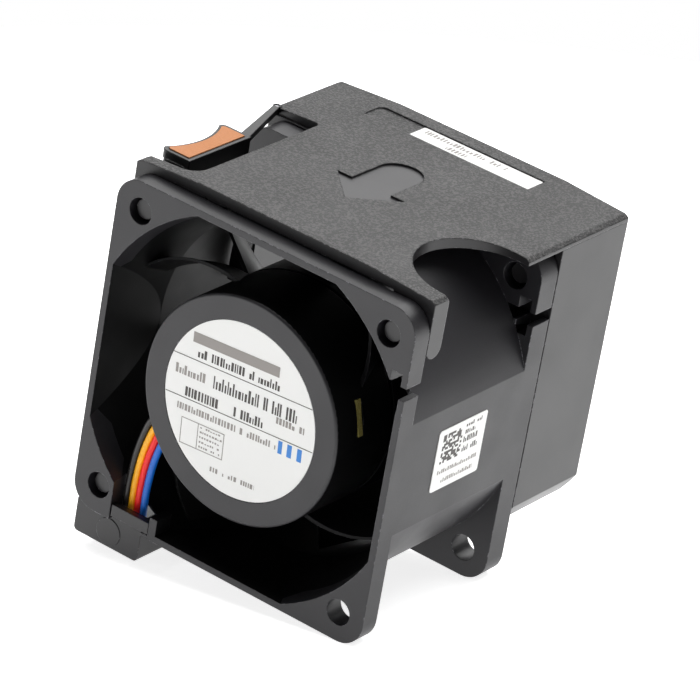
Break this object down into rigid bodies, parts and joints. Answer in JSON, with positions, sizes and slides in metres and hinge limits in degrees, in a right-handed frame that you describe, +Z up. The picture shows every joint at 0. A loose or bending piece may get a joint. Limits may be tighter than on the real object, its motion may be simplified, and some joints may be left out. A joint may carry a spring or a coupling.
{
  "type": "server fan module",
  "caption": "Hot-plug axial fan in a plastic carrier with a duct shroud, a top cover, a press latch and a blind-mate connector.",
  "frame": {"origin": "centre of the fan's outlet face, on the rotor's axis", "axes": "+X to the right seen from the outlet side, +Y from the outlet to the inlet, +Z up towards the cover"},
  "size_m": [0.0602, 0.0565, 0.0683],
  "materials": {
    "housing_plastic": "fine matt moulding texture",
    "impeller_plastic": "matt",
    "carrier_plastic": "fine matt moulding texture",
    "latch_plastic": "matt",
    "grip_plastic": "matt",
    "yoke_steel": "zinc plated",
    "shaft_steel": "ground",
    "bearing_steel": "polished",
    "core_steel": "stamped sheets",
    "magnet_ferrite": "matt",
    "tube_brass": "turned",
    "insulator_plastic": "matt",
    "winding_copper": "enamelled copper wire",
    "board_laminate": "green solder mask",
    "capacitor_aluminium": "sleeved",
    "chip_plastic": "moulded",
    "lead_black": "soft PVC",
    "lead_yellow": "soft PVC",
    "lead_red": "soft PVC",
    "lead_blue": "soft PVC",
    "label_paper": "coated",
    "contact_brass": "gold flashed"
  },
  "bodies": {
    "module": {"fan_frame": "housing_plastic", "bearing_tube": "tube_brass", "bearing_outer_rings": "bearing_steel", "stator_core": "core_steel", "coil_insulators": "insulator_plastic", "coil_windings": "winding_copper", "circuit_board": "board_laminate", "capacitors": "capacitor_aluminium", "driver_chips": "chip_plastic", "lead_block": "chip_plastic", "lead_black": "lead_black", "lead_yellow": "lead_yellow", "lead_red": "lead_red", "lead_blue": "lead_blue", "lead_clip": "carrier_plastic", "top_cover": "carrier_plastic", "inlet_shroud": "carrier_plastic", "connector_housing": "carrier_plastic", "connector_contacts": "contact_brass", "latch_pin": "shaft_steel", "hub_label": "label_paper", "side_label": "label_paper", "cover_label": "label_paper"},
    "rotor": {"impeller": "impeller_plastic", "yoke": "yoke_steel", "magnet_ring": "magnet_ferrite", "rotor_shaft": "shaft_steel", "bearing_inner_rings": "bearing_steel", "retaining_ring": "shaft_steel", "preload_washer": "shaft_steel"},
    "latch": {"latch_lever": "latch_plastic", "grip_pad": "grip_plastic"}
  },
  "joints": [
    {"name": "rotor_spin", "type": "hinge", "parent": "module", "child": "rotor", "pos_m": [0, 0, 0], "axis": [0, 1, 0], "continuous": true},
    {"name": "latch_press", "type": "hinge", "parent": "module", "child": "latch", "pos_m": [-0.0293, 0.039, 0.031], "axis": [0, 0, 1], "range_deg": [0, 4.5], "stiffness_Nm_per_rad": 0.25}
  ]
}
